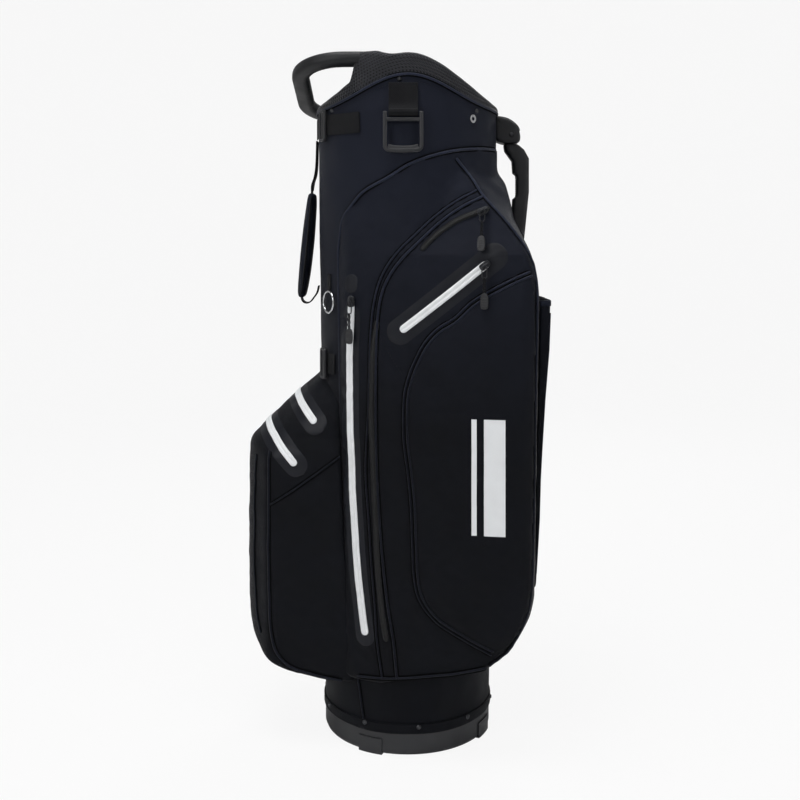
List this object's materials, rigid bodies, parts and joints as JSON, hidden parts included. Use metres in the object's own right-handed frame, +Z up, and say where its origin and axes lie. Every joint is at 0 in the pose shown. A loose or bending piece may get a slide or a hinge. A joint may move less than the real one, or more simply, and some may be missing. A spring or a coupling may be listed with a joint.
{
  "type": "golf cart bag",
  "caption": "Upright golf cart bag: fabric tube with divided top, moulded base, loop and lift handles, zipped pockets, strap and rings.",
  "frame": {"origin": "middle of the moulded base's underside, on the floor", "axes": "+Z up; -X to the front with the ball pocket, +X to the back with the lift handle, -Y to the side with the towel ring"},
  "size_m": [0.4068, 0.3169, 0.9],
  "materials": {
    "bag_fabric": "matte",
    "mesh_fabric": "matte",
    "divider_fabric": "matte",
    "webbing": "matte",
    "moulded_black": "satin",
    "steel": "satin",
    "stay_metal": "satin",
    "zip_white": "matte",
    "zip_black": "matte",
    "slider_metal": "satin",
    "pull_rubber": "matte"
  },
  "bodies": {
    "bag": {"base_cup": "moulded_black", "hem_band": "bag_fabric", "base_rivets": "steel", "tube_shell": "bag_fabric", "stay_rods": "stay_metal", "top_ring": "moulded_black", "divider_bars_long": "moulded_black", "divider_bars_cross": "moulded_black", "divider_panels_long": "divider_fabric", "divider_panels_cross": "divider_fabric", "mesh_collar": "mesh_fabric", "loop_handle": "moulded_black", "lift_handle": "moulded_black", "lift_handle_hood": "moulded_black", "lift_handle_plate": "moulded_black", "handle_screws": "steel", "towel_tab": "webbing", "cuff_rivets": "steel", "steel_eyelet": "steel", "upper_anchor_webbing": "webbing", "lower_anchor_webbing": "webbing", "upper_buckle": "moulded_black", "lower_buckle": "moulded_black", "strap_pad": "mesh_fabric", "strap_upper_webbing": "webbing", "strap_lower_webbing": "webbing", "glove_ring_tab": "webbing", "ball_pocket": "bag_fabric", "ball_upper_zip_tape": "zip_white", "ball_lower_zip_tape": "zip_white", "near_side_pocket": "bag_fabric", "far_side_pocket": "bag_fabric", "back_sleeve": "bag_fabric", "long_zip_tape": "zip_white", "slant_zip_tape": "zip_white", "valuables_zip_tape": "zip_black", "inner_zip_tape": "zip_black", "far_zip_tape": "zip_white"},
    "towel_ring_body": {"towel_ring": "moulded_black"},
    "glove_ring_body": {"glove_ring": "steel"},
    "long_zip_slider_body": {"long_zip_slider": "slider_metal"},
    "long_zip_pull_body": {"long_zip_pull": "pull_rubber"},
    "slant_zip_slider_body": {"slant_zip_slider": "slider_metal"},
    "slant_zip_pull_body": {"slant_zip_pull": "pull_rubber"},
    "valuables_zip_slider_body": {"valuables_zip_slider": "slider_metal"},
    "valuables_zip_pull_body": {"valuables_zip_pull": "pull_rubber"},
    "far_zip_slider_body": {"far_zip_slider": "slider_metal"},
    "far_zip_pull_body": {"far_zip_pull": "pull_rubber"},
    "ball_upper_zip_slider_body": {"ball_upper_zip_slider": "slider_metal"},
    "ball_upper_zip_pull_body": {"ball_upper_zip_pull": "pull_rubber"},
    "ball_lower_zip_slider_body": {"ball_lower_zip_slider": "slider_metal"},
    "ball_lower_zip_pull_body": {"ball_lower_zip_pull": "pull_rubber"}
  },
  "joints": [
    {"name": "towel_ring_swing", "type": "hinge", "parent": "bag", "child": "towel_ring_body", "pos_m": [-0.006, -0.12812, 0.82], "axis": [-1, 0, 0], "range_deg": [0, 85]},
    {"name": "glove_ring_swing", "type": "hinge", "parent": "bag", "child": "glove_ring_body", "pos_m": [-0.1044, -0.06273, 0.59], "axis": [-0.515, 0.8572, 0], "range_deg": [0, 110]},
    {"name": "long_zip_slide", "type": "slide", "parent": "bag", "child": "long_zip_slider_body", "axis": [0.0389, -0.0194, -0.9991], "range_m": [0, 0.41641]},
    {"name": "long_zip_pull_swing", "type": "hinge", "parent": "long_zip_slider_body", "child": "long_zip_pull_body", "pos_m": [-0.0748, -0.11311, 0.57951], "axis": [-0.8944, 0.4472, 0], "range_deg": [0, 120]},
    {"name": "slant_zip_slide", "type": "slide", "parent": "bag", "child": "slant_zip_slider_body", "axis": [-0.7702, 0.154, -0.6189], "range_m": [0, 0.12442]},
    {"name": "slant_zip_pull_swing", "type": "hinge", "parent": "slant_zip_slider_body", "child": "slant_zip_pull_body", "pos_m": [0.09407, -0.1564, 0.6265], "axis": [-0.9806, 0.1961, 0], "range_deg": [0, 120]},
    {"name": "valuables_zip_slide", "type": "slide", "parent": "bag", "child": "valuables_zip_slider_body", "axis": [-0.863, -0.0029, -0.5052], "range_m": [0, 0.07402]},
    {"name": "valuables_zip_pull_swing", "type": "hinge", "parent": "valuables_zip_slider_body", "child": "valuables_zip_pull_body", "pos_m": [0.09319, -0.1374, 0.69573], "axis": [-0.9806, 0.1961, 0], "range_deg": [0, 120]},
    {"name": "far_zip_slide", "type": "slide", "parent": "bag", "child": "far_zip_slider_body", "axis": [0.0389, 0.0194, -0.9991], "range_m": [0, 0.41641]},
    {"name": "far_zip_pull_swing", "type": "hinge", "parent": "far_zip_slider_body", "child": "far_zip_pull_body", "pos_m": [-0.0748, 0.11311, 0.57951], "axis": [0.8944, 0.4472, 0], "range_deg": [0, 120]},
    {"name": "ball_upper_zip_slide", "type": "hinge", "parent": "bag", "child": "ball_upper_zip_slider_body", "pos_m": [-0.0908, 0, 0.38579], "axis": [0.7399, 0, 0.6727], "range_deg": [0, 104]},
    {"name": "ball_upper_zip_pull_swing", "type": "hinge", "parent": "ball_upper_zip_slider_body", "child": "ball_upper_zip_pull_body", "pos_m": [-0.13093, 0.07636, 0.42994], "axis": [0.8852, 0.4652, 0], "range_deg": [0, 120]},
    {"name": "ball_lower_zip_slide", "type": "hinge", "parent": "bag", "child": "ball_lower_zip_slider_body", "pos_m": [-0.13081, 0, 0.34943], "axis": [0.7399, 0, 0.6727], "range_deg": [0, 136]},
    {"name": "ball_lower_zip_pull_swing", "type": "hinge", "parent": "ball_lower_zip_slider_body", "child": "ball_lower_zip_pull_body", "pos_m": [-0.15522, 0.08984, 0.37629], "axis": [0.965, 0.2623, 0], "range_deg": [0, 120]}
  ]
}
